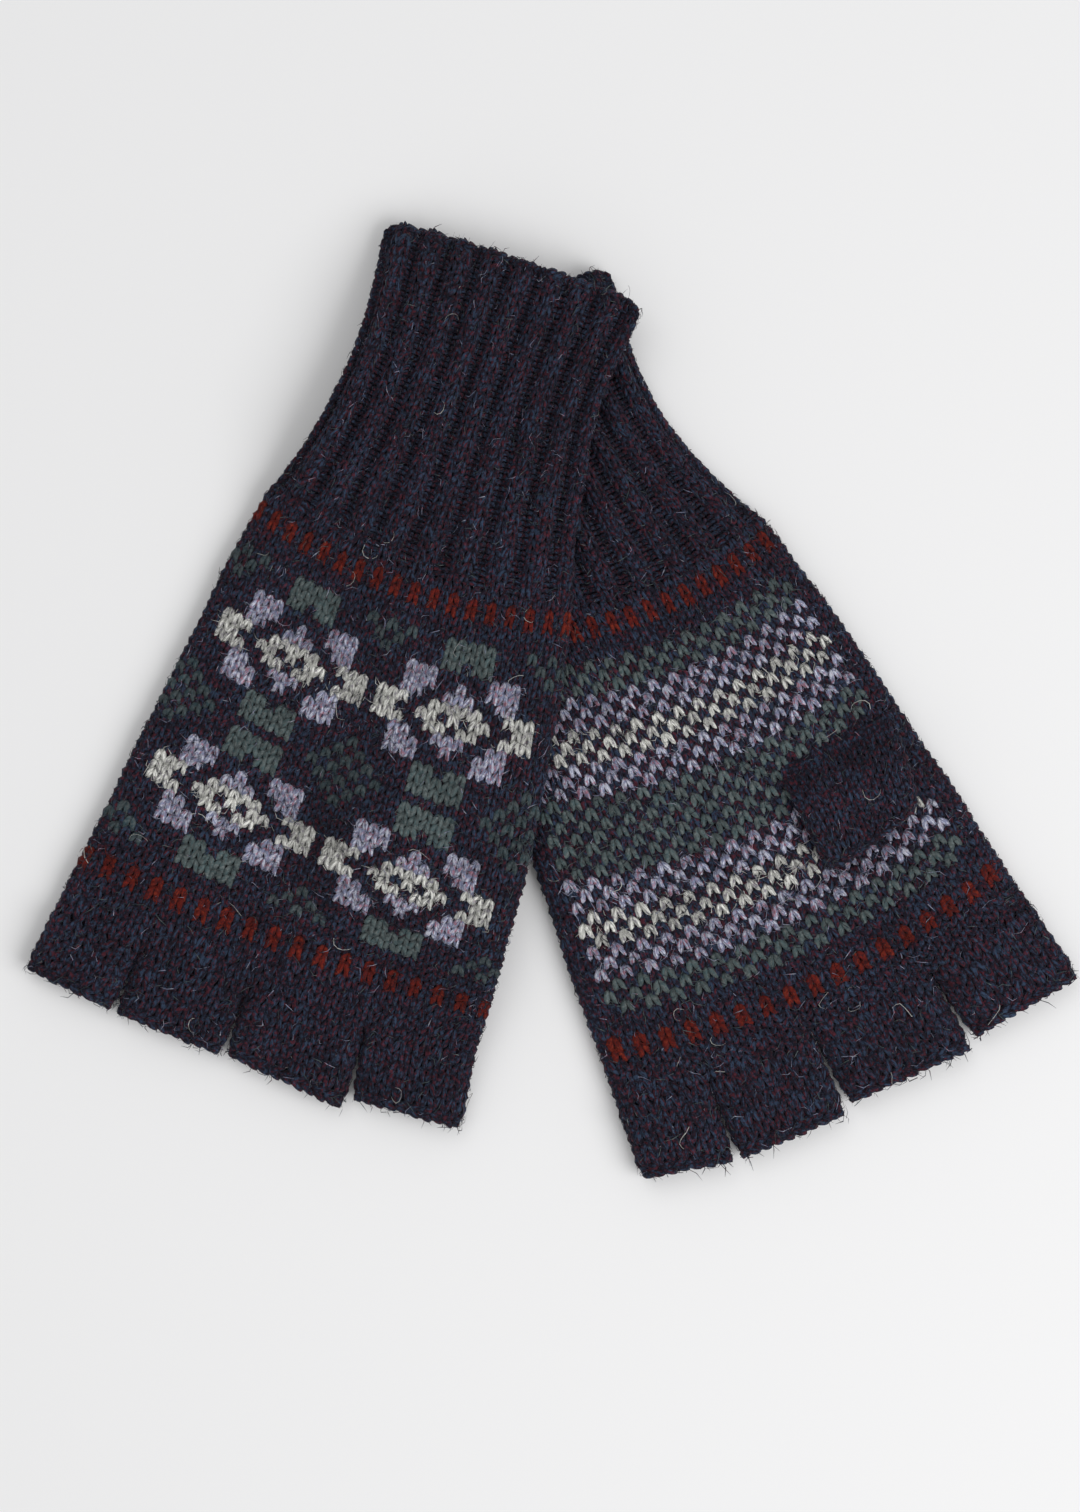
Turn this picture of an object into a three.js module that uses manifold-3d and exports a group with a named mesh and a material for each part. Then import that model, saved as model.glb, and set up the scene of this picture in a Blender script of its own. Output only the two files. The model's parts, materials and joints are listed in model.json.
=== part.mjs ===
import * as THREE from 'three';
import { mergeVertices } from 'three/addons/utils/BufferGeometryUtils.js';
import Module from 'manifold-3d';

// A pair of fingerless gloves in thick stranded knitting, laid down in a V with one cuff on the other.
// The left glove lies palm up with its thumb on the palm. The right glove lies palm down on its own
// thumb, and is draped over the left glove's cuff. Millimetres, X to the right, Y away, Z up.
//
// Every piece is drawn once in a glove's own frame: x across the hand towards the thumb, y from the
// finger edge to the cuff, z up from the back of the hand to the palm. lay() then puts it in a glove.

const wasm = await Module();
wasm.setup();

// Lengths along a glove, from the finger edge
const gloveLength = 222;
const cuffLength = 82;
const knuckleLine = 57;
const thumbLine = 82; // slit in the palm that the thumb is knitted on
const heelLine = 106;
const fingerLength = 18;
const thumbLength = 24;
const edgeLength = 3; // bound-off edge of a finger or the thumb
const castOnLength = 4;
const turnBackLength = 41; // the half of the cuff that can be turned back
const waistFromCastOn = 27; // narrowest place of the cuff

// Widths of a glove lying flat
const fingerEdgeWidth = 126;
const knuckleWidth = 110;
const thumbLineWidth = 106.6;
const heelWidth = 99.6;
const wristWidth = 88;
const waistWidth = 70.4;
const castOnWidth = 74;

// Where the fingers part: shares of the half width, and how far the fork is from the finger edge's corners
const forks = [
  { share: -1, root: 19 },
  { share: -0.59, root: 15.5 },
  { share: -0.1, root: 13.5 },
  { share: 0.47, root: 14.8 },
  { share: 1, root: 19 },
];
const fingerNames = ['little', 'ring', 'middle', 'index'];

// Fabric
const fabric = 2;
const handRoom = 4.4; // space between the two layers
const thumbFabric = 1.8;
const thumbRoom = 4.3;
const forkGap = 1; // between two fingers at their fork
const seam = 0.3; // between two pieces that are knitted together

// Cuff ribs
const ribCount = 9;
const ribDepth = 0.8;
const ribCrest = 0.62; // share of a rib that is flat on top

// Thumb
const thumbMiddle = 31.5;
const thumbWidth = 32;
const thumbRootWidth = 27;
const thumbRise = 12; // length over which it opens from the slit to its full thickness
const slitWidth = 23;
const slitLength = 7;
const slitFromRoot = 3;

// How the pair lies
const leftPlace = { x: 81.9, y: -100.7, lean: 26.5 };
const rightPlace = { x: -81.9, y: -95.3, lean: -18.9 };
const layClearance = 0.6; // between the two gloves
const stayLevel = 12; // how far the upper glove stays level past the outline of the lower one
const dropLength = 34; // and the length over which it then comes down to the table
const thumbLevel = 3; // the same two lengths round the thumb beneath its palm
const thumbDrop = 20;

// Steps of the surfaces
const sideSteps = 4;
const fingerSteps = 3; // across one finger
const handStations = 12;
const cuffStations = 3; // in each half of the cuff

const tubeThickness = 2 * fabric + handRoom;
const thumbThickness = 2 * thumbFabric + thumbRoom;
const wristLine = gloveLength - cuffLength;
const foldLine = gloveLength - turnBackLength;
const castOnLine = gloveLength - castOnLength;
const navy = '#2b2c45';
const edgeNavy = '#323352';

const outlineAlong = [
  0, knuckleLine, thumbLine, heelLine, wristLine, gloveLength - waistFromCastOn, gloveLength,
];
const outlineHalf = [
  fingerEdgeWidth, knuckleWidth, thumbLineWidth, heelWidth, wristWidth, waistWidth, castOnWidth,
].map((width) => width / 2);
const outline = new THREE.CubicInterpolant(outlineAlong, outlineHalf, 1);

function halfWidthAt(along) {
  return outline.evaluate(THREE.MathUtils.clamp(along, 0, gloveLength))[0];
}

// The line where the fingers start runs straight from fork to fork.
function rootAt(share) {
  const i = share <= -1 ? 0 : forks.findIndex((fork) => share <= fork.share) - 1;
  const [near, far] = [forks[Math.max(i, 0)], forks[Math.max(i, 0) + 1]];
  return THREE.MathUtils.mapLinear(share, near.share, far.share, near.root, far.root);
}

function forkPoint({ share, root }) {
  return new THREE.Vector2(share * halfWidthAt(root), root);
}

// One loop round a flattened tube: flat holds its points across the two flat faces, inset is its distance
// inside the outer skin, place(across) gives its y, and relief(i) lowers the flat faces at point i.
function flatLoop({ left, right, flat, inset, place, relief }) {
  const radius = tubeThickness / 2 - inset;
  const points = [];
  const add = (across, up) => points.push(new THREE.Vector3(across, place(across), tubeThickness / 2 + up));
  const side = (centre, start) => {
    for (const angle of between(start, start + Math.PI, sideSteps)) {
      add(centre + radius * Math.cos(angle), radius * Math.sin(angle));
    }
  };
  side(right - inset - radius, -Math.PI / 2);
  for (let i = flat.length - 1; i >= 0; i -= 1) add(flat[i], radius - relief(i));
  side(left + inset + radius, Math.PI / 2);
  for (let i = 0; i < flat.length; i += 1) add(flat[i], relief(i) - radius);
  return points;
}

// Joins rings of equal length into one skin, and returns the triangles.
function skin(rings, triangles) {
  for (let r = 0; r + 1 < rings.length; r += 1) {
    const count = rings[r].length;
    for (let i = 0; i < count; i += 1) {
      const next = (i + 1) % count;
      triangles.push([rings[r][i], rings[r][next], rings[r + 1][next]]);
      triangles.push([rings[r][i], rings[r + 1][next], rings[r + 1][i]]);
    }
  }
}

// Makes a closed geometry of a triangle list, with its faces pointing out.
function solid(triangles) {
  const volume = triangles.reduce((sum, [a, b, c]) => sum + a.dot(b.clone().cross(c)), 0);
  const facing = volume > 0 ? triangles : triangles.map(([a, b, c]) => [a, c, b]);
  const geometry = new THREE.BufferGeometry().setFromPoints(facing.flat());
  return mergeVertices(geometry, 1e-4);
}

// A tube with an outer and an inner skin and a rim at each end.
function tube(outer, inner) {
  const triangles = [];
  skin([...outer, ...[...inner].reverse(), outer[0]], triangles);
  return solid(triangles);
}

// A closed loft: rings of equal length, with a fan over each end.
function loft(rings) {
  const triangles = [];
  skin(rings, triangles);
  for (const [ring, turned] of [[rings[0], true], [rings.at(-1), false]]) {
    for (let i = 1; i + 1 < ring.length; i += 1) {
      triangles.push(turned ? [ring[0], ring[i + 1], ring[i]] : [ring[0], ring[i], ring[i + 1]]);
    }
  }
  return solid(triangles);
}

function toManifold(geometry) {
  const mesh = new wasm.Mesh({
    numProp: 3,
    vertProperties: new Float32Array(geometry.attributes.position.array),
    triVerts: new Uint32Array(geometry.index.array),
  });
  return new wasm.Manifold(mesh);
}

function fromManifold(manifold) {
  const mesh = manifold.getMesh();
  const geometry = new THREE.BufferGeometry();
  geometry.setAttribute('position', new THREE.BufferAttribute(mesh.vertProperties, 3));
  geometry.setIndex(new THREE.BufferAttribute(mesh.triVerts, 1));
  return geometry;
}

function box(width, length, height, x, y, z) {
  const geometry = new THREE.BoxGeometry(width, length, height).translate(x, y, z);
  geometry.deleteAttribute('normal');
  geometry.deleteAttribute('uv');
  return toManifold(mergeVertices(geometry, 1e-4));
}

function between(start, end, count) {
  return Array.from({ length: count + 1 }, (_, i) => THREE.MathUtils.lerp(start, end, i / count));
}

const plain = () => 0;
const clampShare = (share) => THREE.MathUtils.clamp(share, -1, 1);

// A stretch of the glove's main tube from the line start(share) to the line end(share).
function stretch({ shares, start, end, stations, relief = plain }) {
  const rings = (inset, skinRelief) =>
    between(0, 1, stations).map((t) => {
      const along = (share) => THREE.MathUtils.lerp(start(share), end(share), t);
      return flatLoop({
        left: -halfWidthAt(along(-1)),
        right: halfWidthAt(along(1)),
        flat: shares.map((share) => share * halfWidthAt(along(share))),
        inset,
        place: (across) => along(clampShare(across / halfWidthAt(along(Math.sign(across))))),
        relief: skinRelief,
      });
    });
  return tube(rings(0, relief), rings(fabric, plain));
}

// Points across the flat faces: every fork but the outer two, and steps between them.
const handShares = forks
  .slice(0, -1)
  .flatMap((fork, i) => between(fork.share, forks[i + 1].share, fingerSteps).slice(1))
  .slice(0, -1);

function makeHand() {
  const geometry = stretch({
    shares: handShares,
    start: (share) => rootAt(share) + seam / 2,
    end: () => wristLine - seam / 2,
    stations: handStations,
  });
  const slitMiddle = thumbLine - slitFromRoot - slitLength / 2;
  const slit = box(slitWidth, slitLength, 2 * fabric, thumbMiddle, slitMiddle, tubeThickness);
  return fromManifold(toManifold(geometry).subtract(slit));
}

// A stretch of finger i, square to the line between its two forks, from one distance to another.
function makeFinger(i, start, end) {
  const [near, far] = [forkPoint(forks[i]), forkPoint(forks[i + 1])];
  const right = near.distanceTo(far) - (i + 2 < forks.length ? forkGap / 2 : 0);
  const left = i > 0 ? forkGap / 2 : 0;
  const flat = between(left, right, fingerSteps).slice(1, -1);
  const rings = (inset) =>
    [start, end].map((from) => flatLoop({ left, right, flat, inset, place: () => -from, relief: plain }));
  return tube(rings(0), rings(fabric))
    .rotateZ(far.clone().sub(near).angle())
    .translate(near.x, near.y, 0);
}

// The rib from one line to another: each rib has two points on its crest and one in the groove beside it.
function makeRib(start, end) {
  const ribs = between(1, ribCount, ribCount - 1);
  const grooveShares = ribs.flatMap((rib) => [rib - 1 + (1 - ribCrest) / 2, rib - (1 - ribCrest) / 2, rib]);
  return stretch({
    shares: grooveShares.slice(0, -1).slice(1, -1).map((place) => (2 * place) / ribCount - 1),
    start: () => start,
    end: () => end,
    stations: cuffStations,
    relief: (i) => ((i + 1) % 3 === 2 ? ribDepth : 0),
  });
}

function makeCastOn() {
  return stretch({
    shares: handShares,
    start: () => castOnLine,
    end: () => gloveLength,
    stations: 1,
  });
}

// The thumb leaves the slit at no height and opens into a flat tube that points to the fingers.
function thumbHeight(fromRoot) {
  const left = Math.max(0, 1 - fromRoot / thumbRise);
  return thumbThickness * Math.sqrt(1 - left * left);
}

function thumbLoop(fromRoot, inset) {
  const height = Math.max(thumbHeight(fromRoot), 0.2 * thumbThickness);
  const radius = height / 2 - inset;
  const opened = THREE.MathUtils.smoothstep(fromRoot, 0, thumbRise);
  const width = THREE.MathUtils.lerp(thumbRootWidth, thumbWidth, opened);
  const reach = width / 2 - inset - radius;
  const y = thumbLine - fromRoot;
  return [[reach, -Math.PI / 2], [-reach, Math.PI / 2]].flatMap(([centre, start]) =>
    between(0, 1, sideSteps).map((t) => {
      const angle = start + Math.PI * t;
      const across = thumbMiddle + centre + radius * Math.cos(angle);
      const up = tubeThickness + seam + height / 2 + radius * Math.sin(angle);
      return new THREE.Vector3(across, y, up);
    }),
  );
}

function makeThumb() {
  const tip = thumbLength - edgeLength - seam;
  const opened = slitFromRoot + slitLength;
  const outer = loft([...between(0, thumbRise, 4), tip].map((s) => thumbLoop(s, 0)));
  const innerStations = [opened - slitLength / 2, opened, thumbRise, tip + 1];
  const inner = loft(innerStations.map((s) => thumbLoop(s, thumbFabric)));
  const mouthDepth = thumbFabric + thumbRoom / 2;
  const mouthMiddle = thumbLine - opened + slitLength / 2;
  const mouthHeight = tubeThickness + mouthDepth / 2;
  const mouth = box(slitWidth, slitLength, mouthDepth, thumbMiddle, mouthMiddle, mouthHeight);
  return fromManifold(toManifold(outer).subtract(toManifold(inner)).subtract(mouth));
}

function makeThumbEdge() {
  const ends = [thumbLength - edgeLength, thumbLength];
  return tube(ends.map((s) => thumbLoop(s, 0)), ends.map((s) => thumbLoop(s, thumbFabric)));
}

function makePieces() {
  const pieces = [
    { name: 'hand', geometry: makeHand(), colour: navy },
    { name: 'cuff_rib', geometry: makeRib(wristLine + seam / 2, foldLine - seam / 2), colour: navy },
    { name: 'cuff_turn_back', geometry: makeRib(foldLine + seam / 2, castOnLine - seam), colour: navy },
    { name: 'cuff_cast_on_edge', geometry: makeCastOn(), colour: edgeNavy },
    { name: 'thumb', geometry: makeThumb(), colour: navy, thumb: true },
    { name: 'thumb_bound_off_edge', geometry: makeThumbEdge(), colour: edgeNavy, thumb: true },
  ];
  fingerNames.forEach((name, i) => {
    const finger = makeFinger(i, seam / 2, fingerLength - edgeLength - seam);
    pieces.push({ name: `${name}_finger`, geometry: finger, colour: navy });
    const edge = makeFinger(i, fingerLength - edgeLength, fingerLength);
    pieces.push({ name: `${name}_bound_off_edge`, geometry: edge, colour: edgeNavy });
  });
  return pieces;
}

// Height of the table under the right glove's palm: the left glove, and its own thumb, lift it.
const leftFrame = new THREE.Matrix4().makeRotationZ(THREE.MathUtils.degToRad(leftPlace.lean));
leftFrame.setPosition(leftPlace.x, leftPlace.y, 0);
const rightFrame = new THREE.Matrix4().makeRotationZ(THREE.MathUtils.degToRad(rightPlace.lean));
rightFrame.setPosition(rightPlace.x, rightPlace.y, 0);
const rightToLeft = leftFrame.clone().invert().multiply(rightFrame);

// How far a point lies outside a glove's outline; inside it, minus a distance.
function outsideGlove(x, y) {
  const outline = Math.abs(x) - halfWidthAt(y);
  const end = y - gloveLength;
  const corner = Math.hypot(Math.max(outline, 0), Math.max(end, 0));
  return corner > 0 ? corner : Math.max(outline, end);
}

function outsideThumb(x, y) {
  const beside = Math.max(Math.abs(x - thumbMiddle) - thumbWidth / 2, 0);
  const beyond = Math.max(Math.abs(y - thumbLine + thumbLength / 2) - thumbLength / 2, 0);
  return Math.hypot(beside, beyond);
}

function fall(distance, level, length) {
  return 1 - THREE.MathUtils.smoothstep(distance, level, level + length);
}

const thumbLift = thumbThickness + seam;

function restHeight(x, y) {
  const there = new THREE.Vector3(x, y, 0).applyMatrix4(rightToLeft);
  const gloveLift = tubeThickness + layClearance;
  const overGlove = gloveLift * fall(outsideGlove(there.x, there.y), stayLevel, dropLength);
  const overThumb = thumbLift * fall(outsideThumb(x, y), thumbLevel, thumbDrop);
  return Math.max(overGlove, overThumb);
}

// The right glove is turned over: its palm is below, and it follows what lies under it.
function turnOver(geometry, thumb) {
  const place = geometry.attributes.position;
  for (let i = 0; i < place.count; i += 1) {
    const [x, y, z] = [place.getX(i), place.getY(i), place.getZ(i)];
    place.setZ(i, (thumb ? thumbLift : restHeight(x, y)) + tubeThickness - z);
  }
  const corners = geometry.index.array;
  for (let i = 0; i < corners.length; i += 3) {
    [corners[i + 1], corners[i + 2]] = [corners[i + 2], corners[i + 1]];
  }
}

function makeGlove(side, place, over) {
  const glove = new THREE.Group();
  for (const { name, geometry, colour, thumb } of makePieces()) {
    if (over) turnOver(geometry, thumb);
    geometry.computeVertexNormals();
    const material = new THREE.MeshStandardMaterial({ color: colour, roughness: 0.95, metalness: 0 });
    const mesh = new THREE.Mesh(geometry, material);
    mesh.name = `${side}_${name}`;
    glove.add(mesh);
  }
  glove.position.set(place.x, place.y, 0);
  glove.rotation.z = THREE.MathUtils.degToRad(place.lean);
  return glove;
}

const group = new THREE.Group();
group.add(makeGlove('left', leftPlace, false), makeGlove('right', rightPlace, true));

// The origin is the middle of the pair, on the table.
group.updateMatrixWorld(true);
const extent = new THREE.Box3().setFromObject(group, true);
const centre = extent.getCenter(new THREE.Vector3());
group.position.set(-centre.x, -centre.y, -extent.min.z);

export default group;
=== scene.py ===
import bpy
import json
import math
import numpy as np
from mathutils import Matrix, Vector


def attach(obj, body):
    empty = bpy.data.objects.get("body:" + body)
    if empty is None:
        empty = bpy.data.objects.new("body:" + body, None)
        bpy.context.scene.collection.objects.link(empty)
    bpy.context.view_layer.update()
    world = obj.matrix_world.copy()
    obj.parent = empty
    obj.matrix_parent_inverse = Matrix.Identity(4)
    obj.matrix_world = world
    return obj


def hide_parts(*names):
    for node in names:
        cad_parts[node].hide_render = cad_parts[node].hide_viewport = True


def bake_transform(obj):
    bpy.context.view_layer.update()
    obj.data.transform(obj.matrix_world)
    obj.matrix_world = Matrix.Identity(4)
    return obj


# A pair of fingerless gloves in stranded knitting. Every stitch is drawn in knitting space, where x counts
# stitches, y counts rows towards the cuff and z is the height of the yarn, and is then laid on its glove.

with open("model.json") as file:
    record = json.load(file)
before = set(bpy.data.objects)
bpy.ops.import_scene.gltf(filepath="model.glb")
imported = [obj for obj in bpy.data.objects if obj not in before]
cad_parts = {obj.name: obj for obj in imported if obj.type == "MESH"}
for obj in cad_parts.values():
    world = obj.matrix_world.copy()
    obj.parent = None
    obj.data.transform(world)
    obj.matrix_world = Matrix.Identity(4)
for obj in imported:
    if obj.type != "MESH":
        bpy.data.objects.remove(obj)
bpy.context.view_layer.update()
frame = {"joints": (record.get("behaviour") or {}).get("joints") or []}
print("frame loaded")

mm = 0.001
joints = {joint["name"]: joint for joint in frame["joints"]}
scene = bpy.context.scene

# Millimetres in a glove's own frame: x across towards the thumb, y from the finger edge to the cuff,
# z up from the back of the hand to the palm.
glove = {
    "length": 222, "castOn": {"left": -0.3, "right": 0.7}, "thickness": 8.4,
    "outlineAlong": (0, 57, 82, 106, 140, 195, 222),  # the plain outline, which lifts the other glove
    "outlineHalf": (63, 55, 53.3, 49.8, 44, 35.2, 37),
    "forks": ((-1, 19), (-0.59, 15.5), (-0.1, 13.5), (0.47, 14.8), (1, 19)),  # share of half width, root
    "skin": 0.75,  # from the outer size in to the middle of the yarn
    "usualHalf": 50,  # the half width that shares out the columns
    "squareness": 7,  # how squarely the flattened tube turns at its sides
    "waver": 0.5,  # unevenness of the outline
    "pucker": 0.22,  # unevenness of the faces
    "crease": 2.7, "creaseWidth": 1.9, "creaseLength": 3.4,  # the dimple between two fingers
    "groove": 2.8, "groovePower": 0.8,  # depth and shape of the cuff's grooves
    "cornerDrop": 3.5, "cornerPower": 12,  # how the corners of the cuff's edge are rounded
    "turnBackRow": 58, "turnBend": 16,  # where the cuff turns back, and length of the fabric that turns
}
thumb = {
    "middle": 31.5, "root": 82, "length": 24, "width": 32, "rise": 12,
    "thickness": 7.9, "gap": 0.3, "stitches": 24, "rows": 8, "bend": 9,
    # its outline: middle and width at the root and at the tip, and where the tip's two ends lie
    "drawnMiddle": (34.0, 31.7), "drawnWidth": (35, 31), "tips": (51, 56),
    "rootRise": 0.4, "sunk": 1.7,  # half thickness of the root, and how deep it lies in the palm
    "sectionRise": 3, "squareness": 5, "cornerDrop": 2.5, "cornerPower": 8,
    "plainRows": range(15, 24), "firstPlain": 23,
}
finger = {
    "names": ("little", "ring", "middle", "index"), "length": 18, "edge": 3, "gap": 1.0, "rows": 5,
    "longer": {"left": (2.3, 3.8, 3.0, 3.2), "right": (-0.7, -0.8, 0.6, 1.0)},
    "slant": {"left": (1.5, 0, 1.2, 0.8), "right": (0, 0, 2.4, 1.0)},  # how far the ends are askew
    "pitch": 3.35, "sideYarn": 3, "bend": 9,  # bend: length of the fabric that turns where a finger folds
    "rootSquareness": 16, "squareness": 6, "opens": 6,  # opens: length over which the root rounds off
    "flare": 0.012, "droop": 0.14, "thinning": 0.1, "thinsFrom": 10,
}
knit = {
    "face": 35, "ribFace": 36,  # stitches across one face of the hand and of the cuff
    "rows": 44, "castOnRow": 71, "ribSpread": 0.32,
    "stitchWidth": 3.1, "rowHeight": 2.87,  # nominal, for drawing one stitch
    "slab": (-0.75, -2.0), "ribSlab": (-0.75, -1.4),  # outer and inner side of the wall under the stitches
    "chainSunk": -0.55,
}
# How far the two edges of each glove lie from its middle line, as it was laid down.
laidOut = {
    "along": (0, 30, 60, 106, 145, 170, 195, 222),
    "left": {
        "little": (65, 61, 57.5, 51, 43.5, 38, 35, 38),
        "thumb": (65, 60.5, 57, 51, 43.5, 35, 32.5, 38),
    },
    "right": {
        "little": (64, 61, 57, 50.5, 44, 37, 35.5, 38.5),
        "thumb": (58, 58, 56.5, 50.5, 43, 37.5, 34.5, 37),
    },
}
# Where some rows of the hand lie: their middle, how far they lean to the thumb's side, how far their ends
# bow towards the cuff. The first and the last are the red bands.
lay = {
    "left": {"rows": (5, 15.5, 31.5, 42), "middle": (25.8, 57.2, 105.1, 136.5),
             "lean": (-1.6, -3.1, -5.5, -7), "bow": (8.1, 8.6, 9.5, 10)},
    "right": {"rows": (5, 15.5, 31.5, 42), "middle": (31.4, 58.2, 101.4, 130.9),
              "lean": (-2.0, -5.3, -1.8, -1.1), "bow": (2.3, 3.0, 5.0, 6.8)},
}
# How the right glove falls off what it lies on: the level stretch beyond an edge, and the slope after it.
drape = {"clearance": 0.6, "level": 12, "drop": 34, "thumbLevel": 3, "thumbDrop": 20}


def linked(name, data):
    obj = bpy.data.objects.new(name, data)
    scene.collection.objects.link(obj)
    return obj


# A smooth curve through a few points.
def hermite(x, xs, ys):
    xs = np.array(xs, float)
    ys = np.array(ys, float)
    slopes = np.gradient(ys, xs)
    x = np.clip(x, xs[0], xs[-1])
    i = np.clip(np.searchsorted(xs, x) - 1, 0, len(xs) - 2)
    width = xs[i + 1] - xs[i]
    t = (x - xs[i]) / width
    rise = ys[i + 1] - ys[i]
    a = slopes[i] * width - rise
    b = rise - slopes[i + 1] * width
    return ys[i] + t * rise + t * (1 - t) * (a * (1 - t) + b * t)


# The gloves' shapes, in millimetres in a glove's own frame and then in the world.
def halfWidth(along):
    return hermite(along, glove["outlineAlong"], glove["outlineHalf"])


def edgeWidths(side, along):
    return [hermite(along, laidOut["along"], laidOut[side][edge]) for edge in ("little", "thumb")]


def across(side, share, along):  # share runs from -1 at the little finger's edge to 1 at the thumb's
    little, far = edgeWidths(side, along)
    return share * (little + far) / 2 + share ** 2 * (far - little) / 2


def smooth(x, low, high):
    t = np.clip((x - low) / (high - low), 0, 1)
    return t * t * (3 - 2 * t)


def rootAt(share):
    shares, roots = zip(*glove["forks"])
    return np.interp(share, shares, roots)


def gloveFrame(side):
    swing = joints[side + "_thumb_swing"]
    across = Vector(swing["axis"]) * (-1 if side == "left" else 1)
    along = Vector((-across.y, across.x, 0))
    origin = Vector(swing["pos_m"]) / mm - across * thumb["middle"] - along * thumb["root"]
    return np.array(origin.xy), np.array(across.xy), np.array(along.xy)


frames = {side: gloveFrame(side) for side in ("left", "right")}


def outsideGlove(x, y):
    outline = np.abs(x) - halfWidth(y)
    end = y - glove["length"]
    corner = np.hypot(np.maximum(outline, 0), np.maximum(end, 0))
    return np.where(corner > 0, corner, np.maximum(outline, end))


def outsideThumb(x, y):
    beside = np.maximum(np.abs(x - thumb["middle"]) - thumb["width"] / 2, 0)
    middle = thumb["root"] - thumb["length"] / 2
    beyond = np.maximum(np.abs(y - middle) - thumb["length"] / 2, 0)
    return np.hypot(beside, beyond)


# How high the right glove lies: the left glove and its own thumb lift it.
def restHeight(x, y):
    origin, across, along = frames["right"]
    flat = origin + np.multiply.outer(x, across) + np.multiply.outer(y, along)
    under, underAcross, underAlong = frames["left"]
    there = outsideGlove((flat - under) @ underAcross, (flat - under) @ underAlong)
    lift = glove["thickness"] + drape["clearance"]
    overGlove = lift * (1 - smooth(there, drape["level"], drape["level"] + drape["drop"]))
    fromThumb = outsideThumb(x, y)
    fall = 1 - smooth(fromThumb, drape["thumbLevel"], drape["thumbLevel"] + drape["thumbDrop"])
    return np.maximum(overGlove, (thumb["thickness"] + thumb["gap"]) * fall)


# Into the world, in metres. The right glove lies turned over, so its height is counted down.
def toWorld(side, x, y, z, onThumb=False):
    origin, across, along = frames[side]
    flat = origin + np.multiply.outer(x, across) + np.multiply.outer(y, along)
    if side == "right":
        lift = thumb["thickness"] + thumb["gap"] if onThumb else restHeight(x, y)
        z = lift + glove["thickness"] - z
    return np.concatenate([flat, z[..., None]], axis=-1) * mm


# A point on a flattened tube: turn runs once round, from the low side over the top; the section is even
# in length of yarn. It comes back as shares of the half width and of the half thickness.
def section(turn, half, rise, squareness):
    turn = np.mod(turn, 1)
    t = np.linspace(0, math.pi, 361)
    x = -np.sign(np.cos(t)) * np.abs(np.cos(t)) ** (2 / squareness)
    z = np.sin(t)
    steps = np.hypot(np.diff(x * half), np.diff(z * rise))
    length = np.concatenate([[0], np.cumsum(steps)])
    over = np.where(turn < 0.5, turn * 2, 2 - turn * 2) * length[-1]
    return np.interp(over, length, x), np.interp(over, length, z) * np.where(turn < 0.5, 1, -1)


def waver(x, y, phase):  # three slow waves, for a hand-made unevenness
    return (np.sin(x * 0.11 + y * 0.043 + phase) + 0.7 * np.sin(y * 0.127 - x * 0.05 + 2.1 * phase)
            + 0.6 * np.sin(x * 0.31 + 1.7 * phase) * np.sin(y * 0.23 + phase)) / 2.3


# Where a row of the hand or the cuff lies, along the glove.
def alongAt(side, row, share):
    rows = lay[side]["rows"]
    handRow = np.clip(row, rows[0], knit["rows"])
    middle, lean, bow = [hermite(handRow, rows, lay[side][key]) for key in ("middle", "lean", "bow")]
    pitch = (lay[side]["middle"][-1] - lay[side]["middle"][-2]) / (rows[-1] - rows[-2])
    placed = middle + lean * share + bow * share ** 2 + np.maximum(handRow - rows[-1], 0) * pitch
    corner = glove["cornerDrop"] * np.abs(share) ** glove["cornerPower"]
    castOn = glove["length"] - glove["castOn"][side] - corner
    ribShare = (row - knit["rows"]) / (knit["castOnRow"] - knit["rows"])
    return np.where(
        row < rows[0], rootAt(share) + (placed - rootAt(share)) * row / rows[0],
        np.where(row < knit["rows"], placed, placed + (castOn - placed) * ribShare))


def ribWave(column):  # 1 on the middle of a rib's two plain stitches, -1 in the groove
    return np.cos(math.pi * (column - 1) / 2)


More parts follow.
